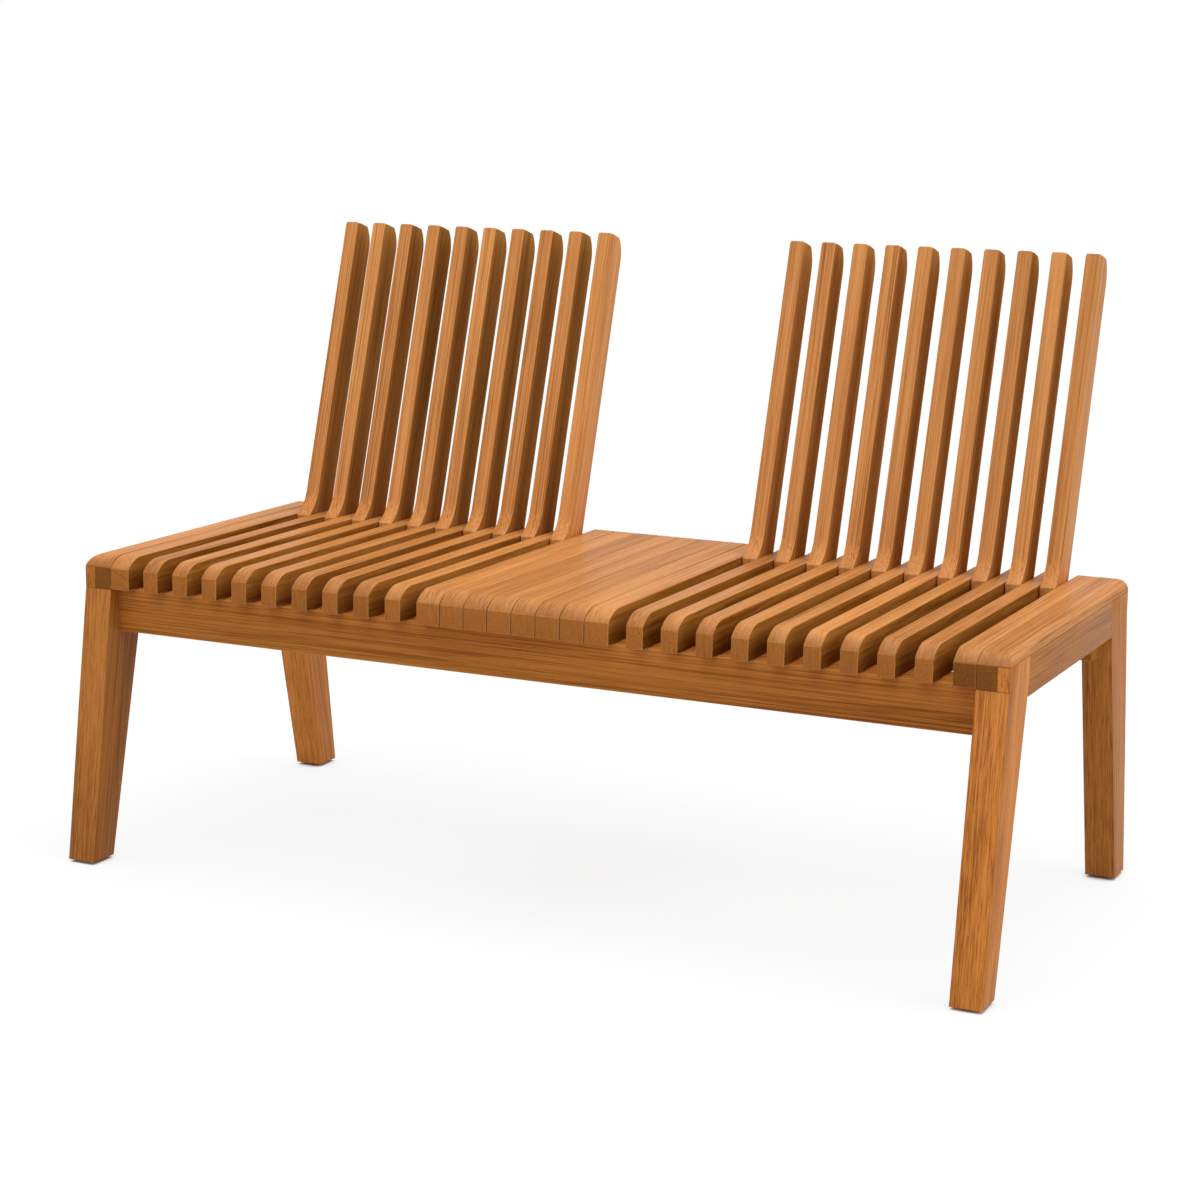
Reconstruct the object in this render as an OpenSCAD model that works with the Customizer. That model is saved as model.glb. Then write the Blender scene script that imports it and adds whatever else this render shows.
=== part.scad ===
// Slatted teak bench with a fixed table in the middle and two backs that fold down into the seats.
// X runs along the bench, -Y is the front and Z is up. The origin lies on the floor under the middle.

/* [Seat and table] */
// Height of the seat top above the floor
seat_h = 430; // [400:5:470]
// Depth of the seat from front to back
deck_d = 540; // [530:5:600]
// Upright thickness of every seat board
slat_t = 45; // [40:1:48]
// Width of a free seat slat
seat_slat_w = 24; // [20:1:30]
// Back slats in each seat, one for each gap
slats = 10; // [4:1:10]
// Width of the edge slat beside each cap
edge_slat_w = 30; // [27:1:40]
// Pitch of the table planks
plank_w = 35; // [30:1:45]
// Shadow gap between two table planks
plank_gap = 1; // [0.5:0.1:2]
// Pairs of table planks
plank_pairs = 4; // [3:1:5]

/* [Rounded front] */
// How far back the rounding of the front edge runs
round_run = 33; // [26:1:38]
// How far down the rounding drops, which is also the thickness of the cap's lip
round_drop = 15; // [12:1:18]

/* [Backs] */
// Width of a back slat
back_slat_w = 21; // [16:1:26]
// Side play between a back slat and the seat slats
slat_play = 1.5; // [1.2:0.1:3]
// Lean of the upright back from the vertical, in degrees
lean = 17; // [12:1:20]
// Distance from the rear face of the seat to the hinge axis
hinge_set = 68; // [68:1:80]
// Radius of the curve that carries the front of a back slat into its foot
foot_r = 60; // [52:1:70]
// Height of that curve along the slat
foot_run = 42; // [34:1:46]
// Length of the heel below the hinge axis
heel_l = 44; // [40:1:44]
// Diameter of the hinge rod
rod_d = 12; // [8:1:14]
// Depth to which the rod enters the edge slat and the table
rod_seat = 20; // [12:1:22]

/* [Caps and legs] */
// Width of a cap and of the legs below it
cap_w = 42; // [38:1:50]
// Width of the leg's tongue, which shows outside the cap's end grain
tongue_w = 15.5; // [13:0.5:17]
// Depth of a leg under the seat
leg_d = 80; // [70:1:90]
// Depth of a leg at the floor
foot_d = 48; // [40:1:56]
// How far each leg leans out at the floor
splay = 56; // [40:1:70]
// Height of the glide under each leg
glide_h = 4; // [3:0.5:6]
// Diameter of a glide
glide_d = 28; // [22:1:30]

/* [Rails] */
// Height of the front apron
apron_h = 62; // [50:1:75]
// Height of the rear apron
rear_apron_h = 50; // [45:1:65]
// Thickness of the aprons
apron_t = 20; // [18:1:20]
// Setback of the front apron behind the leg's face
apron_set = 17; // [12:1:20]
// Setback of the rear apron
rear_apron_set = 2; // [1:0.5:2]
// Height of the cleat glued behind the front apron
cleat_h = 40; // [36:1:48]
// Width of that cleat, which carries the front ends of the boards
cleat_w = 38; // [24:1:44]
// Height of a side rail below the boards
rail_h = 21; // [20:1:36]
// Thickness of a side rail
rail_w = 24; // [23:1:28]
// Height of the hinge rail, which also stops the backs
hinge_rail_h = 45; // [40:1:60]
// Thickness of the hinge rail
hinge_rail_t = 28; // [24:1:34]
// Height of the bearer under the table
bearer_h = 40; // [30:1:45]
// Width of the bearer
bearer_w = 26; // [22:1:27]

/* [Fixings] */
// Diameter of the hardwood dowels
dowel_d = 8; // [6:1:8]
// Length of a dowel
dowel_l = 36; // [30:1:36]
// Length of a deck screw's shank
screw_l = 50; // [44:1:56]
// How far a deck screw enters its board
screw_grip = 20; // [15:1:24]
// Diameter of a deck screw's shank
screw_d = 4.5; // [4:0.5:5]

/* [Clearances] */
// Gap round a tenon, dowel or screw
fit = 0.1; // [0.05:0.05:0.2]
// Radial gap of the hinge rod in the fixed boards
rod_fit = 0.05; // [0.03:0.01:0.09]
// Gap where a back rests on its stop, upright or folded
rest = 0.2; // [0.1:0.1:0.4]

/* [Hidden] */
$fn = 64;
teak = [0.76, 0.49, 0.26];
teak_light = [0.82, 0.56, 0.33];
teak_dark = [0.62, 0.37, 0.19];
steel = [0.72, 0.73, 0.74];
nylon = [0.16, 0.15, 0.14];

gap_w = back_slat_w + 2 * slat_play;
pitch = seat_slat_w + gap_w;
table_half = plank_pairs * plank_w;
edge_x = table_half + slats * pitch - seat_slat_w;
cap_x = edge_x + edge_slat_w;
half_len = cap_x + cap_w;
tongue_x = half_len - tongue_w;
under = seat_h - slat_t;
lip_z = seat_h - round_drop;
round_r = (round_run * round_run + round_drop * round_drop) / (2 * round_drop);

swing_gap = 1.5;
hinge_y = deck_d - hinge_set;
hinge_z = seat_h - slat_t / 2;
half_back = slat_t / 2 - rest;
back_l = hinge_y;
foot_low = 10;
foot_out = foot_r - sqrt(foot_r * foot_r - foot_run * foot_run);
stop_reach = (half_back + slat_t / 2 * sin(lean)) / cos(lean);
notch_d = foot_r - sqrt(foot_r * foot_r - pow(foot_low + foot_run - stop_reach, 2)) + swing_gap;
stop_z = under - notch_d;
stop_y = hinge_y + (-half_back + (stop_z - hinge_z) * sin(lean)) / cos(lean);
hinge_rail_y = stop_y - hinge_rail_t;
back_reach = (back_l - round_run) * sin(lean) + (half_back - round_r) * cos(lean) + round_r;
mid_y = (hinge_y + back_reach - splay) / 2;

tenon_l = 18;
tenon_w = 12;
tenon_edge = 7;
tenon_top = 23;
tenon_side = 5;
tenon_short = 4;
bearer_tenon_l = 9;
screw_head_r = 4;
screw_head_h = 3;
screw_z = under + screw_grip - screw_l;
cleat_back = apron_set + apron_t + cleat_w;
screw_rows = [cleat_back - cleat_w / 2, hinge_rail_y + hinge_rail_t / 2];
washer_r = 10;
pin_r = 3;
pin_l = 16;
eps = 1;

function slat_x(i) = table_half + gap_w + (i - 1) * pitch;
function gap_x(i) = table_half + (i - 1) * pitch;
function board_middles() = concat(
    [for (i = [1 : slats - 1]) slat_x(i) + seat_slat_w / 2],
    [edge_x + edge_slat_w / 2],
    [for (i = [0 : plank_pairs - 1]) (i + 0.5) * plank_w]);

// Moves the model so that the origin lies under the middle of its whole depth
module centred() {
    translate([0, -mid_y, 0]) children();
}

// Mirrors a right-hand piece to the left when side is -1
module on_side(side) {
    mirror([side < 0 ? 1 : 0, 0, 0]) children();
}

// Mirrors a front piece to the rear when back is true
module at_end(back) {
    translate([0, back ? deck_d : 0, 0]) mirror([0, back ? 1 : 0, 0]) children();
}

// Extrudes an outline drawn in Y and Z along X
module along_x(x, w) {
    translate([x, 0, 0]) rotate([90, 0, 90]) linear_extrude(w) children();
}

// A round bar along X
module bar_x(x, w, y, z, r) {
    translate([x, y, z]) rotate([0, 90, 0]) cylinder(h = w, r = r);
}

// What the rounded front edge takes away from boards between x and x + w
module front_round(x, w) {
    difference() {
        translate([x - eps, -eps, seat_h - round_r])
            cube([w + 2 * eps, round_run + eps, round_r + eps]);
        bar_x(x - 2 * eps, w + 4 * eps, round_run, seat_h - round_r, round_r);
    }
}

// Pilot holes of the deck screws in a board centred on x
module pilots(x) {
    for (y = screw_rows)
        translate([x, y, under - eps]) cylinder(h = screw_grip + fit + eps, r = screw_d / 2 + fit);
}

// Counterbored screw holes in the cleat or the hinge rail, whose underside is at low
module screw_holes(y, low) {
    for (side = [-1, 1], x = board_middles()) {
        translate([side * x, y, low - eps])
            cylinder(h = screw_z - low + eps, r = screw_head_r + fit);
        translate([side * x, y, screw_z - eps])
            cylinder(h = screw_l + eps, r = screw_d / 2 + fit);
    }
}

// One seat or table board
module board(x, w) {
    difference() {
        translate([x, 0, under]) cube([w, deck_d, slat_t]);
        front_round(x, w);
        pilots(x + w / 2);
    }
}

// Outline of a leg below the seat, drawn in Y and Z for a front leg
module leg_outline() {
    polygon([[0, under], [-splay, glide_h], [foot_d - splay, glide_h], [leg_d, under]]);
}

// A leg and its tongue without any joint cut into it
module leg_blank() {
    along_x(cap_x, cap_w) leg_outline();
    translate([tongue_x, 0, under - eps]) cube([tongue_w, leg_d, lip_z - under + eps]);
}

// Tenon of an apron of height h in a leg, grown by g for its mortise
module apron_tenon(set, h, g) {
    translate([cap_x - eps, set + apron_t / 2 - tenon_w / 2 - g, under - h + tenon_edge - g])
        cube([tenon_l + eps + g, tenon_w + 2 * g, h - tenon_edge - tenon_top + 2 * g]);
}

// Tenon of a side rail in a leg, grown by g for its mortise
module rail_tenon(g) {
    tenon_x = half_len - tenon_side - tenon_w;
    tenon_y = leg_d - tenon_l - tenon_short;
    translate([tenon_x - g, tenon_y - g, under - rail_h + tenon_short - g])
        cube([tenon_w + 2 * g, tenon_l + 2 * tenon_short + g, rail_h - 2 * tenon_short + 2 * g]);
}

// Dowels of one corner: one up into the cap, one across the side rail's tenon
module corner_dowels(g) {
    translate([(cap_x + tongue_x) / 2, leg_d / 2, under - dowel_l / 2 - g])
        cylinder(h = dowel_l + 2 * g, r = dowel_d / 2 + g);
    bar_x(cap_x, dowel_l + g, leg_d - tenon_l / 2 - tenon_short / 2, under - rail_h / 2, dowel_d / 2 + g);
}

// Pad and pin of one glide
module glide(g) {
    translate([cap_x + cap_w / 2, foot_d / 2 - splay, 0]) {
        cylinder(h = glide_h, r = glide_d / 2);
        translate([0, 0, glide_h - eps]) cylinder(h = pin_l + eps + g, r = pin_r + g);
    }
}

module leg(side, back) {
    centred() on_side(side) at_end(back) color(teak) difference() {
        leg_blank();
        apron_tenon(back ? rear_apron_set : apron_set, back ? rear_apron_h : apron_h, fit);
        rail_tenon(fit);
        corner_dowels(fit);
        glide(fit);
    }
}

module side_rail(side) {
    centred() on_side(side) color(teak_light) difference() {
        union() {
            difference() {
                union() {
                    translate([half_len - rail_w, leg_d - tenon_l, under - rail_h])
                        cube([rail_w, deck_d - 2 * (leg_d - tenon_l), rail_h]);
                    translate([tongue_x, leg_d, under - eps])
                        cube([tongue_w, deck_d - 2 * leg_d, lip_z - under + eps]);
                }
                at_end(false) leg_blank();
                at_end(true) leg_blank();
            }
            at_end(false) rail_tenon(0);
            at_end(true) rail_tenon(0);
        }
        at_end(false) corner_dowels(fit);
        at_end(true) corner_dowels(fit);
        hinge_rail_tenon(fit);
    }
}

module cap(side) {
    centred() on_side(side) color(teak_light) difference() {
        union() {
            translate([cap_x, 0, under]) cube([cap_w - tongue_w, deck_d, slat_t]);
            translate([cap_x, 0, lip_z]) cube([cap_w, deck_d, round_drop]);
        }
        front_round(cap_x, cap_w);
        difference() {
            translate([half_len - round_drop, -eps, lip_z])
                cube([round_drop + eps, deck_d + 2 * eps, round_drop + eps]);
            translate([half_len - round_drop, -2 * eps, lip_z])
                rotate([-90, 0, 0]) cylinder(h = deck_d + 4 * eps, r = round_drop);
        }
        at_end(false) corner_dowels(fit);
        at_end(true) corner_dowels(fit);
    }
}

// Full-length apron of height h from its setback, tenoned into both legs
module apron(set, h, back) {
    at_end(back) union() {
        translate([-cap_x, set, under - h]) cube([2 * cap_x, apron_t, h]);
        for (side = [-1, 1]) on_side(side) apron_tenon(set, h, 0);
    }
}

module front_apron() {
    centred() color(teak_dark) difference() {
        union() {
            apron(apron_set, apron_h, false);
            translate([-cap_x, apron_set + apron_t - eps, under - cleat_h])
                cube([2 * cap_x, cleat_w + eps, cleat_h]);
        }
        screw_holes(screw_rows[0], under - cleat_h);
        bearer_tenons(fit);
    }
}

module rear_apron() {
    centred() color(teak_dark) apron(rear_apron_set, rear_apron_h, true);
}

// Tenon of the hinge rail in a side rail, grown by g for its mortise
module hinge_rail_tenon(g) {
    middle_y = hinge_rail_y + hinge_rail_t / 2;
    translate([half_len - rail_w - eps, middle_y - tenon_w / 2 - g, under - rail_h + tenon_short - g])
        cube([tenon_w + eps + g, tenon_w + 2 * g, rail_h - 2 * tenon_short + 2 * g]);
}

module hinge_rail() {
    rail_end = half_len - rail_w;
    centred() color(teak_dark) difference() {
        union() {
            translate([-rail_end, hinge_rail_y, under - hinge_rail_h])
                cube([2 * rail_end, hinge_rail_t, hinge_rail_h]);
            for (side = [-1, 1]) on_side(side) hinge_rail_tenon(0);
        }
        screw_holes(screw_rows[1], under - hinge_rail_h);
        for (side = [-1, 1], i = [1 : slats])
            on_side(side) translate([gap_x(i), hinge_rail_y - eps, stop_z])
                cube([gap_w, hinge_rail_t + 2 * eps, notch_d + eps]);
        bearer_tenons(fit);
    }
}

// Both tenons of the bearer, grown by g for their mortises
module bearer_tenons(g) {
    front = cleat_back - bearer_tenon_l;
    reach = hinge_rail_y + bearer_tenon_l - front;
    translate([-tenon_w / 2 - g, front - g, under - bearer_h + tenon_edge - g])
        cube([tenon_w + 2 * g, reach + 2 * g, bearer_h - 2 * tenon_edge + 2 * g]);
}

module bearer() {
    centred() color(teak_dark) union() {
        translate([-bearer_w / 2, cleat_back, under - bearer_h])
            cube([bearer_w, hinge_rail_y - cleat_back, bearer_h]);
        bearer_tenons(0);
    }
}

module table_planks() {
    centred() color(teak) difference() {
        for (side = [-1, 1], i = [0 : plank_pairs - 1])
            on_side(side) board(i * plank_w + plank_gap / 2, plank_w - plank_gap);
        for (side = [-1, 1]) on_side(side) rod(rod_fit);
    }
}

module edge_slat(side) {
    centred() on_side(side) color(teak) difference() {
        board(edge_x, edge_slat_w);
        rod(rod_fit);
    }
}

module seat_slat(side, i) {
    centred() on_side(side) color(teak) difference() {
        board(slat_x(i), seat_slat_w);
        rod(rod_fit);
    }
}

// Hinge rod on its axis, grown by g for its bores
module rod(g) {
    rod_x = table_half - plank_gap / 2 - rod_seat;
    bar_x(rod_x - g, edge_x + rod_seat - rod_x + 2 * g, hinge_y, hinge_z, rod_d / 2 + g);
}

module hinge_rod(side) {
    centred() on_side(side) color(steel) rod(0);
}

// A back slat standing upright, with its tip rounded to lie flush with the seat's front when folded
module back_slat(side, i) {
    x = gap_x(i) + slat_play;
    centred() on_side(side) color(teak) difference() {
        translate([0, hinge_y, hinge_z]) rotate([-lean, 0, 0]) difference() {
            union() {
                translate([x, -half_back, -heel_l]) cube([back_slat_w, 2 * half_back, back_l + heel_l]);
                foot(x);
            }
            tip_round(x);
        }
        translate([x - eps, hinge_rail_y, under - hinge_rail_h])
            cube([back_slat_w + 2 * eps, hinge_rail_t + rest, hinge_rail_h]);
        bar_x(x - eps, back_slat_w + 2 * eps, hinge_y, hinge_z, rod_d / 2 + fit / 4);
    }
}

// Forward curve of a back slat's foot, in the slat's own frame
module foot(x) {
    toe = [-half_back - foot_out, foot_low];
    heel = [-half_back + eps, eps - heel_l];
    past_toe = toe + 0.1 * (toe - heel);
    difference() {
        along_x(x, back_slat_w) polygon([
            past_toe,
            [past_toe[0], foot_low + foot_run],
            [heel[0], foot_low + foot_run],
            heel]);
        bar_x(x - eps, back_slat_w + 2 * eps, -half_back - foot_r, foot_low + foot_run, foot_r);
    }
}

// What the rounded tip takes away, in the slat's own frame
module tip_round(x) {
    difference() {
        translate([x - eps, half_back - round_r, back_l - round_run])
            cube([back_slat_w + 2 * eps, round_r + eps, round_run + eps]);
        bar_x(x - 2 * eps, back_slat_w + 4 * eps, half_back - round_r, back_l - round_run, round_r);
    }
}

// Spacing washers beside every back slat on both rods
module washers(side) {
    centred() on_side(side) color(nylon) difference() {
        for (i = [1 : slats], x = [gap_x(i) + fit, gap_x(i) + slat_play + back_slat_w])
            bar_x(x, slat_play - fit, hinge_y, hinge_z, washer_r);
        bar_x(table_half, edge_x - table_half, hinge_y, hinge_z, rod_d / 2 + fit / 2);
    }
}

module glides() {
    centred() color(nylon)
        for (side = [-1, 1], back = [false, true]) on_side(side) at_end(back) glide(0);
}

module deck_screws() {
    centred() color(steel)
        for (side = [-1, 1], x = board_middles(), y = screw_rows)
            translate([side * x, y, screw_z]) {
                translate([0, 0, -screw_head_h]) cylinder(h = screw_head_h, r = screw_head_r);
                cylinder(h = screw_l, r = screw_d / 2);
            }
}

module dowels() {
    centred() color(teak_dark)
        for (side = [-1, 1], back = [false, true]) on_side(side) at_end(back) corner_dowels(0);
}

leg(-1, false);  // leg_front_left
leg(1, false);  // leg_front_right
leg(-1, true);  // leg_rear_left
leg(1, true);  // leg_rear_right
side_rail(-1);  // side_rail_left
side_rail(1);  // side_rail_right
cap(-1);  // cap_left
cap(1);  // cap_right
front_apron();
rear_apron();
hinge_rail();
bearer();
table_planks();
edge_slat(-1);  // edge_slat_left
edge_slat(1);  // edge_slat_right
for (i = [1 : slats - 1]) {
    seat_slat(-1, i);
    seat_slat(1, i);
}
for (i = [1 : slats]) {
    back_slat(-1, i);
    back_slat(1, i);
}
hinge_rod(-1);  // rod_left
hinge_rod(1);  // rod_right
washers(-1);  // washers_left
washers(1);  // washers_right
glides();
deck_screws();
dowels();
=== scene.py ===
"""Looks of the convertible slatted bench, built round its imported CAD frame."""

import logging
import math
from dataclasses import dataclass, field
from enum import Enum
from typing import Any, Sequence

import bmesh
import bpy
from mathutils import Matrix, Vector


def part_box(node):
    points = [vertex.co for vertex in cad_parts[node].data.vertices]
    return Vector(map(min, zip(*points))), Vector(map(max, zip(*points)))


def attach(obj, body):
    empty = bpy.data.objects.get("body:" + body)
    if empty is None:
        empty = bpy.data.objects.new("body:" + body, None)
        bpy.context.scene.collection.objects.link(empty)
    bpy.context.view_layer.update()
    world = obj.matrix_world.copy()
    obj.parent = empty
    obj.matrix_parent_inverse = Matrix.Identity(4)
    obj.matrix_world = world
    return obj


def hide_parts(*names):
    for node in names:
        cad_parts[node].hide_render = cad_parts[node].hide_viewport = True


log = logging.getLogger("bench")
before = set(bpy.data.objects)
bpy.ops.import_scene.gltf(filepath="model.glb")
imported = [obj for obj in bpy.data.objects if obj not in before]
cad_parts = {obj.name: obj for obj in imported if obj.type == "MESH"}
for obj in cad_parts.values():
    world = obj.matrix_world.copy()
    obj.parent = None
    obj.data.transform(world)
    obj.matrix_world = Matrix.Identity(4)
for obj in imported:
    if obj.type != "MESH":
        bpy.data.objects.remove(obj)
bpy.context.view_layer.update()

Point2 = tuple[float, float]
Point3 = tuple[float, float, float]
Piece = bpy.types.Object
Solid = bmesh.types.BMesh
Socket = bpy.types.NodeSocket
Material = bpy.types.Material

SIDES = {"left": -1, "right": 1}
X_AXIS: Point3 = (1.0, 0.0, 0.0)
Y_AXIS: Point3 = (0.0, 1.0, 0.0)
Z_AXIS: Point3 = (0.0, 0.0, 1.0)
LEAN = math.radians(17)
LEAN_AXIS: Point3 = (0.0, math.sin(LEAN), math.cos(LEAN))
LEG_LEAN = math.atan2(0.072, 0.381)
HINGE: Point2 = (0.188205, 0.4075)

SHARP_ANGLE = math.radians(24)
EASED_ANGLE = math.radians(28)
FLAT_ANGLE = math.radians(0.3)
WELD = 1e-6
BORE_STEPS = 40
PAST = 0.01  # how far a cutting solid reaches past the piece

# Names of the numbers stored on the meshes and read by the materials
BOARD = "board"
# Mask of the eased edges, lightened for wear and a painted highlight
WEAR_AND_HIGHLIGHT = "wear_and_highlight"
# Mask of the painted shade on the faces between neighbouring boards
PAINTED_GAP_SHADE = "painted_gap_shade"
SHADE = "shade"
DARK_END = "dark_end"


# Shader maths


class Signal:
    """A number or colour that varies over a surface; its operators add Math nodes."""

    def __init__(self, graph: "Graph", socket: Socket) -> None:
        """Wraps one output socket of a graph."""
        self.graph = graph
        self.socket = socket

    def _math(self, operation: str, *values: Any) -> "Signal":
        """One Math node on these values, in order."""
        return self.graph.node("ShaderNodeMath", {"operation": operation}, dict(enumerate(values)))

    def __add__(self, other: Any) -> "Signal":
        """Sum."""
        return self._math("ADD", self, other)

    __radd__ = __add__

    def __sub__(self, other: Any) -> "Signal":
        """Difference."""
        return self._math("SUBTRACT", self, other)

    def __rsub__(self, other: Any) -> "Signal":
        """Difference with the plain number first."""
        return self._math("SUBTRACT", other, self)

    def __mul__(self, other: Any) -> "Signal":
        """Product."""
        return self._math("MULTIPLY", self, other)

    __rmul__ = __mul__

    def __pow__(self, other: Any) -> "Signal":
        """Power."""
        return self._math("POWER", self, other)

    def root(self) -> "Signal":
        """Square root."""
        return self._math("SQRT", self)

    def size(self) -> "Signal":
        """Absolute value."""
        return self._math("ABSOLUTE", self)

    def ramp(self, low: float, high: float, to_low: float = 0.0, to_high: float = 1.0) -> "Signal":
        """Maps a range to another with smooth, clamped ends.

        Args:
            low: Value that becomes to_low.
            high: Value that becomes to_high.
            to_low: Result at and below low.
            to_high: Result at and above high.

        Returns:
            The mapped signal.
        """
        return self.graph.node(
            "ShaderNodeMapRange",
            {"interpolation_type": "SMOOTHSTEP"},
            {0: self, 1: low, 2: high, 3: to_low, 4: to_high},
        )


class Graph:
    """A node tree that is filled from empty."""

    def __init__(self, tree: bpy.types.NodeTree) -> None:
        """Empties the tree."""
        self.tree = tree
        tree.nodes.clear()

    def node(
        self, kind: str, settings: dict[str, Any], values: dict[Any, Any], output: Any = 0
    ) -> Signal:
        """Adds one node.

        Args:
            kind: The node's type.
            settings: Its properties, set first; "stops" fills a colour ramp.
            values: Numbers, colours or signals for its inputs, by name or index.
            output: Name or index of the output that is wanted.

        Returns:
            That output as a signal.
        """
        made = self.tree.nodes.new(kind)
        for key, value in settings.items():
            if key == "stops":
                self._stops(made.color_ramp, value)
            else:
                setattr(made, key, value)
        for key, value in values.items():
            if isinstance(value, Signal):
                self.tree.links.new(value.socket, made.inputs[key])
            else:
                made.inputs[key].default_value = value
        return Signal(self, made.outputs[output])

    @staticmethod
    def _stops(ramp: bpy.types.ColorRamp, stops: Sequence[tuple[float, Sequence[float]]]) -> None:
        """Fills a colour ramp with (position, colour) stops.

        Args:
            ramp: The ramp of a new node.
            stops: The stops in order.
        """
        while len(ramp.elements) < len(stops):
            ramp.elements.new(1.0)
        for element, (position, colour) in zip(ramp.elements, stops):
            element.position = position
            element.color = (*colour, 1.0)

    def close(self, kind: str, shader: Signal) -> bpy.types.Node:
        """Adds the tree's output node, of the type given, and leads a shader into it.

        Args:
            kind: Type of the output node.
            shader: What is led into it.

        Returns:
            The output node.
        """
        out = self.tree.nodes.new(kind)
        self.tree.links.new(shader.socket, out.inputs[0])
        return out

    def eye(self) -> Signal:
        """1 for a ray that the camera or a reflection sees, else 0.

        Returns:
            That share as a signal.
        """
        rays = self.tree.nodes.new("ShaderNodeLightPath").outputs
        camera, gloss = (Signal(self, rays[name]) for name in ("Is Camera Ray", "Is Glossy Ray"))
        return self.node("ShaderNodeMath", {"operation": "MAXIMUM"}, {0: camera, 1: gloss})


class Shader(Graph):
    """One material's node tree with a Principled surface."""

    def __init__(self, name: str) -> None:
        """Starts an empty material of that name.

        Args:
            name: Name of the material.
        """
        self.material = bpy.data.materials.new(name)
        self.material.use_nodes = True
        super().__init__(self.material.node_tree)
        self.surface = self.tree.nodes.new("ShaderNodeBsdfPrincipled")
        self.lit = Signal(self, self.surface.outputs[0])
        self.out = self.close("ShaderNodeOutputMaterial", self.lit)
        coordinates = self.tree.nodes.new("ShaderNodeTexCoord")
        self.place = Signal(self, coordinates.outputs["Object"])
        self.normal = Signal(self, coordinates.outputs["Normal"])

    def dot(self, vector: Signal, axis: Point3) -> Signal:
        """Share of a vector along a constant axis."""
        product = {"operation": "DOT_PRODUCT"}
        return self.node("ShaderNodeVectorMath", product, {0: vector, 1: axis}, "Value")

    def join(self, x: Any, y: Any, z: Any) -> Signal:
        """A vector from three numbers."""
        return self.node("ShaderNodeCombineXYZ", {}, {0: x, 1: y, 2: z})

    def noise(
        self, place: Signal, scale: float, detail: float, rough: float = 0.5, line: bool = False
    ) -> Signal:
        """Smooth noise from 0 to 1.

        Args:
            place: A point, or one number for noise along a line.
            scale: How fine it is.
            detail: Octaves of finer noise.
            rough: Share of the finer octaves.
            line: Whether the place is one number.

        Returns:
            The noise.
        """
        form, entry = ("1D", "W") if line else ("3D", "Vector")
        values = {entry: place, "Scale": scale, "Detail": detail, "Roughness": rough}
        return self.node("ShaderNodeTexNoise", {"noise_dimensions": form}, values)

    def attribute(self, name: str) -> Signal:
        """A number stored on the mesh."""
        return self.node("ShaderNodeAttribute", {"attribute_name": name}, {}, "Fac")

    def mix(self, share: Any, first: Any, second: Any, blend: str = "MIX") -> Signal:
        """Mixes two colours by a share."""
        settings = {"data_type": "RGBA", "blend_type": blend}
        return self.node("ShaderNodeMix", settings, {0: share, 6: first, 7: second}, 2)

    def set(self, **values: Any) -> None:
        """Sets or links inputs of the Principled surface; underscores stand for spaces.

        Args:
            **values: Numbers, colours or signals by the name of the input.
        """
        for key, value in values.items():
            socket = self.surface.inputs[key.replace("_", " ")]
            if isinstance(value, Signal):
                self.tree.links.new(value.socket, socket)
            else:
                socket.default_value = value

    def bump(self, height: Signal, strength: float, distance: float) -> Signal:
        """A bumped normal from a height."""
        values = {"Strength": strength, "Distance": distance, "Height": height}
        return self.node("ShaderNodeBump", {}, values)


def rgba(colour: Sequence[float], level: float = 1.0) -> tuple[float, float, float, float]:
    """A linear colour at a level of its brightness, with full alpha."""
    return (colour[0] * level, colour[1] * level, colour[2] * level, 1.0)


WHITE = rgba((1.0, 1.0, 1.0))


# Finishes


@dataclass(frozen=True)
class Tones:
    """Colours of one batch of timber, from its pale wood to its dark rings."""

    light: Point3
    middle: Point3
    dark: Point3


HONEY = Tones((0.665, 0.290, 0.090), (0.535, 0.210, 0.053), (0.300, 0.100, 0.019))
AMBER = Tones((0.590, 0.222, 0.042), (0.470, 0.157, 0.023), (0.260, 0.075, 0.009))


@dataclass(frozen=True)
class Grain:
    """The marks of one timber, each a noise from 0 to 1."""

    rings: Signal
    bands: Signal
    fibres: Signal
    streaks: Signal
    pores: Signal
    cloud: Signal
    rays: Signal


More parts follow.
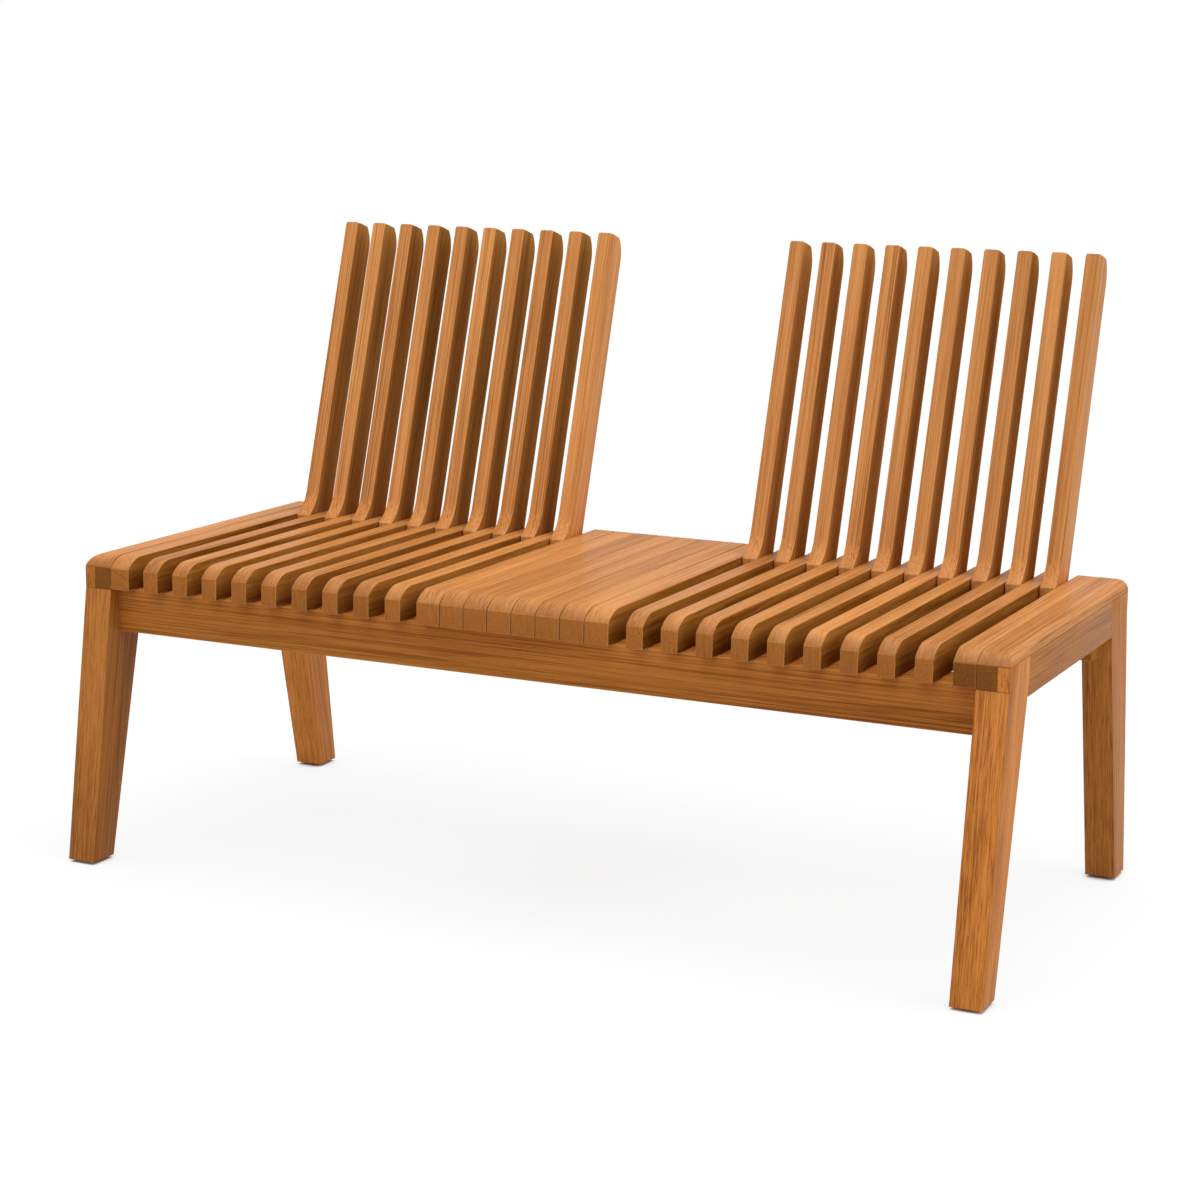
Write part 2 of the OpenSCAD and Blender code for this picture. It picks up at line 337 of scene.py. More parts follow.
@dataclass(frozen=True)
class Teak:
    """Oiled teak whose grain runs along one direction of the part.

    The rates say how many marks there are in a metre across the grain, the shares how much each
    mark does to the colour. The variation holds, for red, green and blue, how much the boards
    differ, how much each is clouded, and its least brightness.
    """

    name: str
    slot: str
    along: Point3
    across: Point3
    tones: Tones = AMBER
    contrast: float = 1.5
    layers: float = 1.0
    nose: float = 0.10
    # How strongly painted shade darkens the gap faces towards the underside of the boards
    depth: float = 0.0
    oil: float = 0.48
    # Tint of the painted shade on the faces in the gaps between boards
    painted_gap_shade: Point3 = (0.63, 0.55, 0.25)
    # Colour of that painted shade at the bottom of the gaps
    painted_gap_floor_shade: Point3 = (0.085, 0.022, 0.002)
    end: Point3 = (0.475, 0.168, 0.038)
    dark_end: Point3 = (0.150, 0.047, 0.011)
    # Light colour of the eased edges: wear and a painted highlight
    wear_and_highlight_colour: Point3 = (0.80, 0.44, 0.17)
    # Height of the boards' underside, where that painted shade is darkest, and how far up it fades
    floor: float = 0.386
    painted_gap_floor_shade_height: float = 0.040
    ring_gap: float = 0.0030
    fibre_rate: float = 620.0
    streak_rate: float = 170.0
    pore_rate: float = 2100.0
    ray_rate: float = 640.0
    log_run: float = 7.3
    log_width: float = 0.30
    heart_place: Point2 = (0.75, 0.06)
    wander: float = 0.022
    tremble: float = 0.0016
    ring_share: float = 0.18
    fibre_share: float = 0.56
    streak_share: float = 0.20
    band_share: float = 0.10
    cloud_share: float = 0.14
    mean: float = 0.59
    vein_share: float = 0.28
    pore_share: float = 0.40
    variation: Sequence[Point3] = ((0.24, 0.22, 0.77), (0.29, 0.22, 0.745), (0.34, 0.20, 0.73))
    # Share of the edge colour for wear and painted highlight
    wear_and_highlight_share: float = 0.38

    def grain(self, s: Shader, luck: Sequence[Signal]) -> Grain:
        """Lays the marks out round the heart of the log that the board was cut from.

        Args:
            s: The shader that they are built in.
            luck: Three random numbers of the board.

        Returns:
            The marks.
        """
        depth = tuple(Vector(self.along).cross(Vector(self.across)))
        length = s.dot(s.place, self.along) + luck[0] * self.log_run
        side = s.dot(s.place, self.across) + luck[1] * self.log_width + self.heart_place[0]
        thick = s.dot(s.place, depth) + luck[2] * self.log_width + self.heart_place[1]

        def marks(
            run: float, rate: float, detail: float, rough: float = 0.5, flat: float = 1.0
        ) -> Signal:
            """Noise with one rate along the grain and another across it."""
            place = s.join(length * run, side * rate, thick * rate * flat)
            return s.noise(place, 1.0, detail, rough)

        heart = (side * side + thick * thick).root() + marks(1.7, 11.0, 2.0) * self.wander
        heart = heart + marks(12.0, 90.0, 2.0) * self.tremble
        return Grain(
            rings=s.noise(heart, 1.0 / self.ring_gap, 3.0, 0.68, line=True),
            bands=s.noise(heart, 0.10 / self.ring_gap, 1.0, line=True),
            fibres=marks(5.0, self.fibre_rate, 3.0, 0.72, self.layers),
            streaks=marks(3.5, self.streak_rate, 3.0, 0.6, self.layers),
            pores=marks(60.0, self.pore_rate, 1.0, flat=self.layers),
            cloud=marks(2.4, 16.0, 2.0),
            rays=marks(30.0, self.ray_rate, 3.0, 0.7),
        )

    def figure(self, s: Shader, g: Grain, luck: Sequence[Signal]) -> Signal:
        """The colour along the grain.

        Args:
            s: The shader that it is built in.
            g: The marks of the timber.
            luck: Three random numbers of the board.

        Returns:
            The colour, lighter or darker and redder or yellower from board to board.
        """
        tones = self.tones
        level = g.rings * self.ring_share + g.fibres * self.fibre_share
        level = level + g.streaks * self.streak_share + g.bands * self.band_share
        level = (level + g.cloud * self.cloud_share - self.mean) * self.contrast + 0.50
        stops = ((0.36, tones.dark), (0.48, tones.middle), (0.60, tones.light), (0.76, tones.light))
        timber = s.node("ShaderNodeValToRGB", {"stops": stops}, {0: level})
        vein = g.streaks.ramp(0.40, 0.28) * g.fibres.ramp(0.62, 0.42)
        timber = s.mix(vein * self.vein_share, timber, rgba(tones.dark))
        timber = s.mix(g.pores.ramp(0.38, 0.26) * self.pore_share, timber, rgba(tones.dark))
        shade = s.attribute(SHADE) + 1.0
        tone = [(luck[1] * a + g.cloud * b + c) * shade for a, b, c in self.variation]
        return s.mix(1.0, timber, s.join(*tone), "MULTIPLY")

    def cut_end(self, s: Shader, g: Grain, luck: Sequence[Signal], timber: Signal) -> Signal:
        """The colour of a face cut across the grain.

        Args:
            s: The shader that it is built in.
            g: The marks of the timber.
            luck: Three random numbers of the board.
            timber: The colour along the grain.

        Returns:
            The colour, with rays, rings and the stain of an old end where the mesh has one.
        """
        butt = s.mix(g.rays.ramp(0.30, 0.70), rgba(self.end, 0.66), rgba(self.end, 1.34))
        butt = s.mix(g.rings.ramp(0.44, 0.32) * 0.45, butt, rgba(self.end, 0.5))
        butt = s.mix(luck[2] ** 1.5 * 0.75, butt, timber)
        old = s.attribute(DARK_END) * g.rays.ramp(0.70, 0.35, 0.75, 1.2)
        return s.mix(old, butt, rgba(self.dark_end))

    def material(self) -> Material:
        """Builds the timber: its figure, its cut ends, painted shade in the gaps between boards,
        and edges lightened for wear and a painted highlight.

        Returns:
            The finished material.
        """
        s = Shader(self.name)
        board = {"W": s.attribute(BOARD)}
        chance = s.node("ShaderNodeTexWhiteNoise", {"noise_dimensions": "1D"}, board, "Color")
        split = s.node("ShaderNodeSeparateColor", {}, {0: chance}).socket.node
        luck = [Signal(s, split.outputs[i]) for i in range(3)]
        g = self.grain(s, luck)

        cut = s.dot(s.normal, self.along).size()
        timber = self.figure(s, g, luck)
        slant = cut.ramp(0.20, 0.72) * (luck[2] * self.nose + 0.16)
        timber = s.mix(slant, timber, rgba(self.tones.dark))
        timber = s.mix(cut.ramp(0.70, 0.98), timber, self.cut_end(s, g, luck, timber))

        # Painted shade: the faces in the gaps between boards are darkened
        inner = s.attribute(PAINTED_GAP_SHADE)
        timber = s.mix(inner, timber, rgba(self.painted_gap_shade), "MULTIPLY")
        # Painted shade: the gap faces grow darker towards the bottom of the boards
        low = s.dot(s.place, Z_AXIS).ramp(self.floor + self.painted_gap_floor_shade_height, self.floor)
        timber = s.mix(inner * low * self.depth, timber, rgba(self.painted_gap_floor_shade))
        # Eased edges lightened: partly wear, partly a painted highlight where they catch the light
        edge = s.attribute(WEAR_AND_HIGHLIGHT)
        wear_and_highlight = edge * cut.ramp(0.60, 0.35, 0.55, 1.0) * g.cloud.ramp(0.36, 0.60, 0.45, 1.0)
        timber = s.mix(wear_and_highlight * self.wear_and_highlight_share, timber, rgba(self.wear_and_highlight_colour))

        open_face = inner.ramp(0.0, 0.2, 1.0, 0.0) * (1.0 - edge * 0.8)
        s.set(
            Base_Color=timber,
            Roughness=g.fibres * 0.16 + cut.ramp(0.6, 0.98) * 0.18 + 0.40,
            IOR=1.46,
            Specular_IOR_Level=0.0,
            Coat_Weight=open_face * cut.ramp(0.6, 0.98, self.oil, 0.0),
            Coat_Roughness=0.42,
            Coat_IOR=1.4,
            Normal=s.bump(g.fibres * 0.6 + g.pores * 0.3 + g.rings * 0.25, 0.20, 0.0006),
        )
        return s.material


@dataclass(frozen=True)
class Steel:
    """Brushed stainless steel of the rods and screws."""

    name: str = "brushed_stainless"
    slot: str = "stainless"
    tint: Point3 = (0.56, 0.57, 0.58)

    def material(self) -> Material:
        """Builds the metal with fine turning marks along X.

        Returns:
            The finished material.
        """
        s = Shader(self.name)
        x, y, z = (s.dot(s.place, axis) for axis in (X_AXIS, Y_AXIS, Z_AXIS))
        marks = s.noise(s.join(x * 4200.0, y * 260.0, z * 260.0), 1.0, 2.0)
        smear = s.noise(s.place, 60.0, 2.0)
        s.set(
            Base_Color=s.mix(marks * 0.5, rgba(self.tint), rgba(self.tint, 0.72)),
            Metallic=1.0,
            Roughness=marks * 0.14 + smear * 0.10 + 0.22,
            Normal=s.bump(marks, 0.12, 0.0002),
        )
        return s.material


@dataclass(frozen=True)
class Nylon:
    """Dark moulded nylon of the washers and glides."""

    name: str = "dark_nylon"
    slot: str = "nylon"
    tint: Point3 = (0.030, 0.028, 0.026)
    scuffed: Point3 = (0.11, 0.10, 0.095)

    def material(self) -> Material:
        """Builds the plastic with a fine moulded grain and scuffs.

        Returns:
            The finished material.
        """
        s = Shader(self.name)
        grain = s.noise(s.place, 2600.0, 2.0)
        scuff = s.noise(s.place, 240.0, 4.0, 0.7).ramp(0.52, 0.70)
        s.set(
            Base_Color=s.mix(scuff * 0.35, rgba(self.tint), rgba(self.scuffed)),
            Roughness=scuff * 0.18 + grain * 0.10 + 0.42,
            Normal=s.bump(grain, 0.15, 0.0001),
        )
        return s.material


@dataclass(frozen=True)
class PaleFloor:
    """Floor that shows white with a faint shadow and bounces light as plain plaster."""

    name: str = "pale_floor"
    plaster: Point3 = (0.60, 0.60, 0.60)
    seen: Point3 = (0.97, 0.97, 0.97)
    shadow_share: float = 0.14
    contact: float = 0.022

    def material(self) -> Material:
        """Builds the floor from a plain surface and a white that only the view sees.

        Returns:
            The finished material.
        """
        s = Shader(self.name)
        seen = s.eye()
        speck = s.noise(s.place, 9.0, 3.0) * 0.02
        s.set(
            Base_Color=s.mix(seen - speck * seen, rgba(self.plaster), rgba(self.seen)),
            Roughness=0.9,
            Specular_IOR_Level=0.0,
        )
        white = s.node("ShaderNodeEmission", {}, {"Color": WHITE, "Strength": 1.0})
        reach = {"Distance": self.contact}
        near = s.node("ShaderNodeAmbientOcclusion", {"samples": 12}, reach, "AO")
        share = seen * near.ramp(0.15, 0.85) * (1.0 - self.shadow_share)
        mixed = s.node("ShaderNodeMixShader", {}, {0: share, 1: s.lit, 2: white})
        s.tree.links.new(mixed.socket, s.out.inputs[0])
        return s.material


# Shapes


class Run(Enum):
    """Direction in which an outline is drawn out into a solid."""

    ALONG_X = 0
    ALONG_Y = 1

    def place(self, u: float, v: float, w: float) -> Vector:
        """The point of an outline's u and v, w along the run."""
        return Vector((w, u, v) if self is Run.ALONG_X else (u, w, v))


def arc(centre: Point2, radius: float, start: float, stop: float, steps: int) -> list[Point2]:
    """Points of an arc, both ends among them, with angles in degrees."""
    turns = [math.radians(start + (stop - start) * i / steps) for i in range(steps + 1)]
    return [(centre[0] + radius * math.cos(a), centre[1] + radius * math.sin(a)) for a in turns]


def rectangle(low: Point2, high: Point2) -> list[Point2]:
    """The outline of an upright rectangle."""
    return [low, (high[0], low[1]), high, (low[0], high[1])]


def prism(outline: Sequence[Point2], run: Run, low: float, high: float) -> Solid:
    """Draws a closed outline out into a solid.

    Args:
        outline: Corners in order.
        run: Direction that the solid is drawn in.
        low: Where it starts.
        high: Where it ends.

    Returns:
        The solid with its faces outwards.
    """
    bm = bmesh.new()
    near = [bm.verts.new(run.place(u, v, low)) for u, v in outline]
    far = [bm.verts.new(run.place(u, v, high)) for u, v in outline]
    bm.faces.new(near)
    bm.faces.new(far[::-1])
    count = len(outline)
    for i in range(count):
        j = (i + 1) % count
        bm.faces.new((near[j], near[i], far[i], far[j]))
    bmesh.ops.recalc_face_normals(bm, faces=bm.faces)
    return bm


def to_object(name: str, bm: Solid) -> Piece:
    """Turns a solid into an object of the scene.

    Args:
        name: Name of the object and its mesh.
        bm: The solid, which is used up.

    Returns:
        The object.
    """
    mesh = bpy.data.meshes.new(name)
    bm.to_mesh(mesh)
    bm.free()
    made = bpy.data.objects.new(name, mesh)
    bpy.context.scene.collection.objects.link(made)
    return made


def settle(made: Piece) -> None:
    """Replaces an object's mesh by its evaluated one and drops its modifiers.

    Args:
        made: The object.
    """
    bpy.context.view_layer.update()
    graph = bpy.context.evaluated_depsgraph_get()
    mesh = bpy.data.meshes.new_from_object(made.evaluated_get(graph))
    mesh.name = made.name
    made.modifiers.clear()
    made.data = mesh


def combine(made: Piece, solid: Solid, operation: str) -> None:
    """Joins, cuts or intersects an object with a solid.

    Args:
        made: The object that is changed.
        solid: What it is changed with.
        operation: UNION, DIFFERENCE or INTERSECT.
    """
    tool = to_object("tool", solid)
    modifier = made.modifiers.new("combine", "BOOLEAN")
    modifier.operation = operation
    modifier.solver = "EXACT"
    modifier.object = tool
    settle(made)
    bpy.data.objects.remove(tool)


def bore(made: Piece, radius: float, low: Vector, high: Vector) -> None:
    """Cuts the hole of the hinge rod through a piece that reaches from low to high."""
    hole = arc(HINGE, radius, 0, 360, BORE_STEPS)[:-1]
    combine(made, prism(hole, Run.ALONG_X, low.x - PAST, high.x + PAST), "DIFFERENCE")


def ease(made: Piece, width: float, shortest: float = 0.0) -> None:
    """Rounds the sharp outer edges a little and marks them for edge wear and a painted highlight.

    Args:
        made: The object to work on.
        width: Width of the easing.
        shortest: Edges shorter than this are left sharp.
    """
    bm = bmesh.new()
    bm.from_mesh(made.data)
    bmesh.ops.remove_doubles(bm, verts=bm.verts, dist=WELD)
    bmesh.ops.dissolve_limit(bm, angle_limit=FLAT_ANGLE, verts=bm.verts, edges=bm.edges)
    wear_and_highlight = bm.faces.layers.float.new(WEAR_AND_HIGHLIGHT)
    outer = [e for e in bm.edges if e.is_manifold and e.is_convex]
    sharp = [e for e in outer if e.calc_face_angle() > EASED_ANGLE and e.calc_length() >= shortest]
    result = bmesh.ops.bevel(
        bm,
        geom=sharp,
        offset=width,
        offset_type="OFFSET",
        segments=2,
        profile=0.5,
        affect="EDGES",
        clamp_overlap=True,
        loop_slide=True,
        material=-1,
    )
    for face in result["faces"]:
        face[wear_and_highlight] = 1.0
    bm.to_mesh(made.data)
    bm.free()


def merge(first: Piece, second: Piece) -> Piece:
    """Puts the mesh of a second object into the first and removes the second.

    Args:
        first: The object that stays.
        second: The object that goes.

    Returns:
        The first object.
    """
    bm = bmesh.new()
    bm.from_mesh(first.data)
    bm.from_mesh(second.data)
    bm.to_mesh(first.data)
    bm.free()
    bpy.data.objects.remove(second)
    return first


def smooth(made: Piece) -> None:
    """Shades gentle curves smooth and keeps real edges crisp."""
    made.data.polygons.foreach_set("use_smooth", [True] * len(made.data.polygons))
    made.data.set_sharp_from_angle(angle=SHARP_ANGLE)


def mark(made: Piece, name: str, value: float) -> None:
    """Stores one number on every point of a board."""
    layer = made.data.attributes.new(name, "FLOAT", "POINT")
    layer.data.foreach_set("value", [value] * len(made.data.vertices))


def number(made: Piece, value: float, shade: float = 0.0) -> None:
    """Gives a board its own number, from which its grain is drawn, and its own shade."""
    mark(made, BOARD, value)
    mark(made, SHADE, shade)


def mark_painted_gap_shade(made: Piece, ends: bool, share: float) -> None:
    """Marks the faces between neighbouring boards for painted shade, which makes them darker than
    the open ones.

    Args:
        made: A row of boards side by side along X.
        ends: Whether the outermost faces stand in a gap too.
        share: How much the painted shade darkens them, from 0 to 1.
    """
    rim, upright = 0.001, 0.95
    places = [v.co.x for v in made.data.vertices]
    low, high = min(places) + rim, max(places) - rim
    layer = made.data.attributes.new(PAINTED_GAP_SHADE, "FLOAT", "FACE")
    for face, value in zip(made.data.polygons, layer.data):
        inner = ends or low < face.center.x < high
        value.value = share if inner and abs(face.normal.x) > upright else 0.0


def numbered(prefix: str) -> list[str]:
    """The CAD nodes with this prefix and a number, in order."""
    count = sum(n.startswith(prefix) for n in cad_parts)
    return [f"{prefix}{i + 1}" for i in range(count)]


def middle_x(node: str) -> float:
    """X of the middle of a CAD node."""
    return sum(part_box(node)[i].x for i in (0, 1)) / 2


@dataclass(frozen=True)
class Nose:
    """The rounding at the front of the boards, which the tips of the backs repeat."""

    run: float = 0.033
    drop: float = 0.015
    steps: int = 14

    @property
    def radius(self) -> float:
        """Radius of the curve, which ends level with the top."""
        return (self.run**2 + self.drop**2) / (2 * self.drop)

    def curve(self, centre: Point2, start: float) -> list[Point2]:
        """Points of the curve round its centre, from an angle in degrees."""
        turn = math.degrees(math.acos(1 - self.drop / self.radius))
        return arc(centre, self.radius, start, start + turn, self.steps)


# Repeats


class RowTree:
    """Geometry Nodes tree that repeats the object's own mesh at points or along a line."""

    def __init__(self, name: str) -> None:
        """Starts a tree with a geometry input and output.

        Args:
            name: Name of the tree.
        """
        self.tree = bpy.data.node_groups.new(name, "GeometryNodeTree")
        self.tree.is_modifier = True
        face = self.tree.interface
        face.new_socket("Geometry", in_out="INPUT", socket_type="NodeSocketGeometry")
        face.new_socket("Geometry", in_out="OUTPUT", socket_type="NodeSocketGeometry")
        self.source = self.tree.nodes.new("NodeGroupInput")
        self.result = self.tree.nodes.new("NodeGroupOutput")

    def ask(self, name: str, kind: str = "Float") -> Socket:
        """Adds a named input to the tree and gives its socket.

        Args:
            name: Name of the input.
            kind: Float, Int or Material.

        Returns:
            Its socket.
        """
        kind = f"NodeSocket{kind}"
        self.tree.interface.new_socket(name, in_out="INPUT", socket_type=kind)
        return next(s for s in self.source.outputs if s.name == name)

    def add(self, kind: str, settings: dict[str, Any], links: dict[Any, Any]) -> bpy.types.Node:
        """Adds a node with settings, then values or links for its inputs.

        Args:
            kind: The node's type.
            settings: Its properties.
            links: Values or sockets for its inputs.

        Returns:
            The node.
        """
        made = self.tree.nodes.new(kind)
        for key, value in settings.items():
            setattr(made, key, value)
        for key, value in links.items():
            if isinstance(value, Socket):
                self.tree.links.new(value, made.inputs[key])
            else:
                made.inputs[key].default_value = value
        return made

    def close(self, points: Socket, shape: Socket) -> None:
        """Puts the shape on the points, numbers each copy, and makes them one plain mesh.

        Args:
            points: Where the copies go.
            shape: What is repeated.
        """
        copies = self.add("GeometryNodeInstanceOnPoints", {}, {"Points": points, "Instance": shape})
        seed = self.ask("Seed", "Int")
        chance = self.add("FunctionNodeRandomValue", {"data_type": "FLOAT"}, {"Seed": seed})
        floats = [s for s in chance.outputs if s.type == "VALUE" and s.enabled]
        stored = self.add(
            "GeometryNodeStoreNamedAttribute",
            {"data_type": "FLOAT", "domain": "INSTANCE"},
            {"Geometry": copies.outputs[0], "Name": BOARD, "Value": floats[0]},
        )
        real = self.add("GeometryNodeRealizeInstances", {}, {"Geometry": stored.outputs[0]})
        links = {"Geometry": real.outputs[0], "Material": self.ask("Material", "Material")}
        dressed = self.add("GeometryNodeSetMaterial", {}, links)
        self.tree.links.new(dressed.outputs[0], self.result.inputs[0])

    def apply(self, made: Piece, **inputs: Any) -> None:
        """Runs the tree on an object and keeps the plain mesh.

        Args:
            made: The object whose mesh is repeated.
            **inputs: Values for the named inputs; underscores stand for spaces.
        """
        modifier = made.modifiers.new(self.tree.name, "NODES")
        modifier.node_group = self.tree
        sockets = {
            s.name: s.identifier
            for s in self.tree.interface.items_tree
            if s.item_type == "SOCKET" and s.in_out == "INPUT"
        }
        for key, value in inputs.items():
            modifier[sockets[key.replace("_", " ")]] = value
        settle(made)


def line_tree() -> RowTree:
    """A tree that repeats a mesh along X: Count copies, Pitch apart.

    Returns:
        The tree.
    """
    row = RowTree("slat_row")
    count = row.ask("Count", "Int")
    pitch = row.ask("Pitch")
    step = row.add("ShaderNodeCombineXYZ", {}, {"X": pitch}).outputs[0]
    line = row.add("GeometryNodeMeshLine", {"mode": "OFFSET"}, {"Count": count, "Offset": step})
    row.close(line.outputs[0], row.source.outputs["Geometry"])
    return row


def corner_tree() -> RowTree:
    """A tree that repeats a mesh at the four corners of a rectangle.

    Returns:
        The tree.
    """
    row = RowTree("four_corners")
    sizes = {"Size X": row.ask("Width"), "Size Y": row.ask("Depth")}
    grid = row.add("GeometryNodeMeshGrid", {}, {**sizes, "Vertices X": 2, "Vertices Y": 2})
    row.close(grid.outputs[0], row.source.outputs["Geometry"])
    return row


def washer_tree() -> RowTree:
    """A tree that puts a flat ring, turned to face X, at each vertex of the object's mesh.

    Returns:
        The tree.
    """
    row = RowTree("washer_stack")
    radius = row.ask("Middle Radius")
    sizes = {"Width": row.ask("Wall"), "Height": row.ask("Thickness")}
    ring = row.add("GeometryNodeCurvePrimitiveCircle", {}, {"Resolution": 40, "Radius": radius})
    section = row.add("GeometryNodeCurvePrimitiveQuadrilateral", {}, sizes)
    curves = {"Curve": ring.outputs[0], "Profile Curve": section.outputs[0]}
    swept = row.add("GeometryNodeCurveToMesh", {}, curves).outputs[0]
    turn = (0.0, math.pi / 2, 0.0)
    turned = row.add("GeometryNodeTransform", {}, {"Geometry": swept, "Rotation": turn})
    row.close(row.source.outputs["Geometry"], turned.outputs[0])
    return row


def screw_tree() -> RowTree:
    """A tree that puts an upright screw, head down, at each vertex of the object's mesh.

    Returns:
        The tree.
    """
    row = RowTree("deck_screw_rows")
    length = row.ask("Length")
    shank = row.ask("Shank Radius")
    head = row.ask("Head Radius")
    high = row.ask("Head Height")
    bolt_sizes = {"Vertices": 12, "Radius": shank, "Depth": length}
    bolt = row.add("GeometryNodeMeshCylinder", {}, bolt_sizes)
    cap_sizes = {"Vertices": 20, "Radius Top": head, "Radius Bottom": head, "Depth": high}
    cap = row.add("GeometryNodeMeshCone", {}, cap_sizes)
    joined = row.add("GeometryNodeJoinGeometry", {}, {})
    for shape, size, factor in ((bolt, length, 0.5), (cap, high, -1.0)):
        shift = row.add("ShaderNodeMath", {"operation": "MULTIPLY"}, {0: size, 1: factor})
        place = row.add("ShaderNodeCombineXYZ", {}, {"Z": shift.outputs[0]})
        links = {"Geometry": shape.outputs[0], "Translation": place.outputs[0]}
        moved = row.add("GeometryNodeTransform", {}, links)
        row.tree.links.new(moved.outputs[0], joined.inputs[0])
    row.close(row.source.outputs["Geometry"], joined.outputs[0])
    return row


# The bench


@dataclass
class Workshop:
    """The finishes of the bench and the way a piece is handed to its body."""

    # The seat boards get painted shade towards the bottom of their gaps (depth)
    boards: Teak = Teak(
        "teak_boards", "teak_boards", Y_AXIS, X_AXIS, HONEY, 1.25, 0.22, nose=0.55, depth=0.72
    )
    # The backs have their own tint of painted shade in their gaps
    backs: Teak = Teak(
        "teak_backs", "teak_backs", LEAN_AXIS, X_AXIS, HONEY, 1.2, painted_gap_shade=(0.60, 0.66, 0.60)
    )
    rails: Teak = Teak("teak_rails", "teak_frame", X_AXIS, Z_AXIS, contrast=1.9, oil=0.28)
    ends: Teak = Teak("teak_side_rails", "teak_frame", Y_AXIS, Z_AXIS, HONEY, 1.1)
    front_legs: Teak = Teak(
        "teak_front_legs", "teak_frame", (0.0, math.sin(LEG_LEAN), math.cos(LEG_LEAN)), X_AXIS
    )
    rear_legs: Teak = Teak(
        "teak_rear_legs", "teak_frame", (0.0, -math.sin(LEG_LEAN), math.cos(LEG_LEAN)), X_AXIS
    )
    steel: Steel = Steel()
    nylon: Nylon = Nylon()
    made: dict[str, Material] = field(default_factory=dict)

    def material(self, finish: Any) -> Material:
        """The material of a finish, built once.

        Args:
            finish: A timber, the steel or the nylon.

        Returns:
            Its material.
        """
        if finish.name not in self.made:
            self.made[finish.name] = finish.material()
        return self.made[finish.name]

    def repeat(self, made: Piece, row: RowTree, finish: Any, **inputs: Any) -> None:
        """Repeats a mesh by a tree, in a finish.

        Args:
            made: The object that holds the mesh or the points.
            row: The tree.
            finish: The finish of every copy.
            **inputs: Values for the tree's named inputs, among them the Seed of the grain.
        """
        row.apply(made, Material=self.material(finish), **inputs)

    def hand_over(self, made: Piece, finish: Any, body: str, nodes: Sequence[str]) -> None:
        """Dresses a piece, hides the CAD nodes it stands for and lets it ride on its body.

        Args:
            made: The finished piece.
            finish: Its finish.
            body: The CAD body it moves with.
            nodes: The CAD nodes it stands for.
        """
        smooth(made)
        made.data.materials.clear()
        made.data.materials.append(self.material(finish))
        made.data.polygons.foreach_set("material_index", [0] * len(made.data.polygons))
        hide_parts(*nodes)
        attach(made, body)
        log.info("%s rides on %s for %d node(s)", made.name, body, len(nodes))

    def dress(self, node: str, finish: Any) -> None:
        """Gives a CAD node that stays its material.

        Args:
            node: Name of the CAD node.
            finish: Its finish.
        """
        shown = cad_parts[node]
        shown.data.materials.clear()
        shown.data.materials.append(self.material(finish))
        log.info("%s keeps its CAD shape", node)


